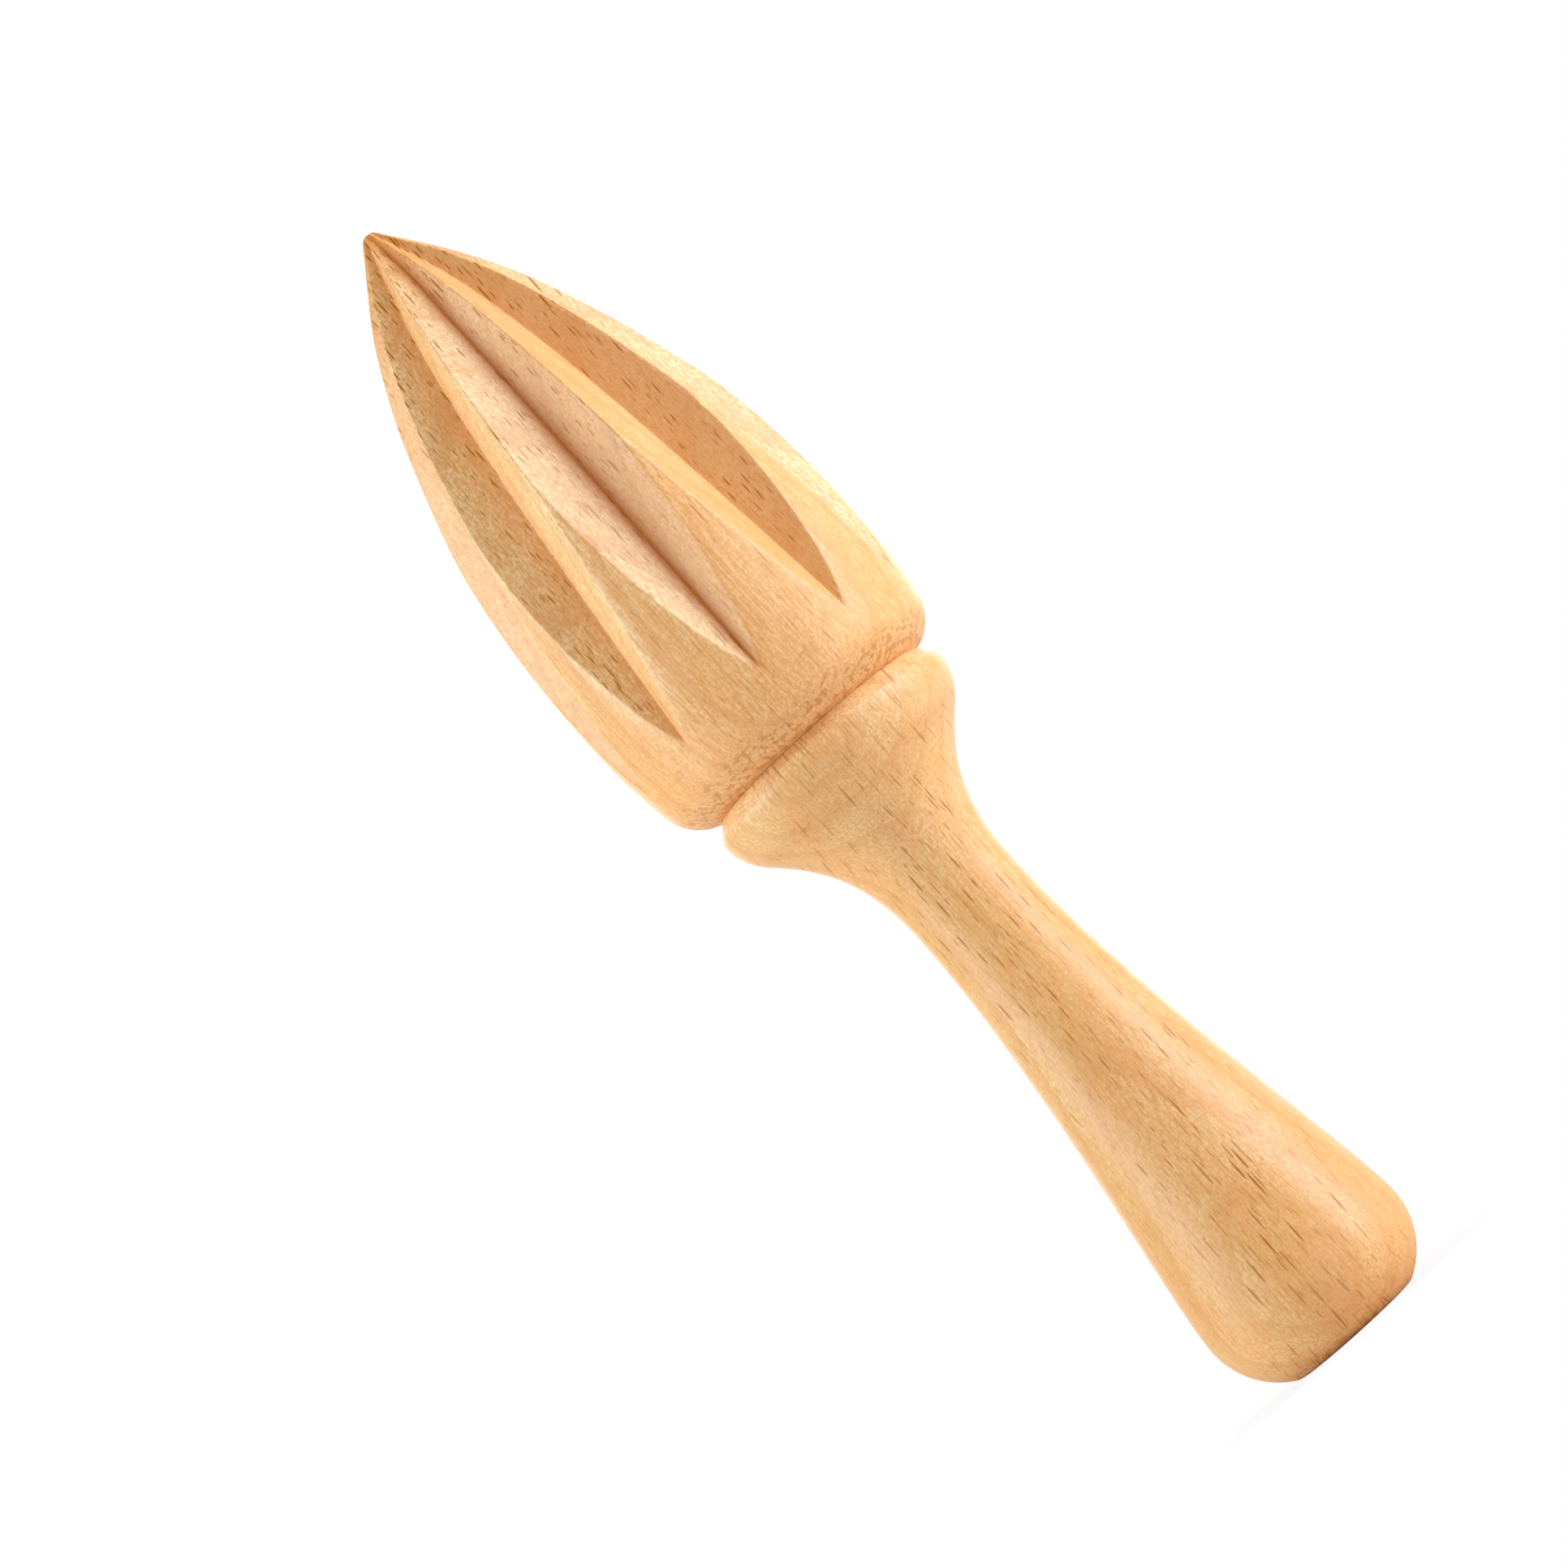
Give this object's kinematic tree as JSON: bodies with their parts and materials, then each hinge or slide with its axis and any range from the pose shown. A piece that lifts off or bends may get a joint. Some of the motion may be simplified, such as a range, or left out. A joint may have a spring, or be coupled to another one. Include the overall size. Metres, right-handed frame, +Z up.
{
  "type": "citrus reamer",
  "caption": "Hand-held wooden citrus reamer: a pointed head with V flutes, a rounded collar and a waisted grip that flares to a flat butt.",
  "frame": {"origin": "centre of the flat butt face that the reamer stands on", "axes": "+Z up the turning axis from the butt to the tip of the head; one flute of the head faces -Y"},
  "size_m": [0.0384, 0.0382, 0.16],
  "materials": {
    "head_beech": "fine-sanded pale beech, satin from a wipe of oil, no lacquer",
    "handle_beech": "fine-sanded pale beech, satin from a wipe of oil, no lacquer"
  },
  "bodies": {
    "root": {"reaming_head": "head_beech", "handle": "handle_beech"}
  },
  "joints": []
}
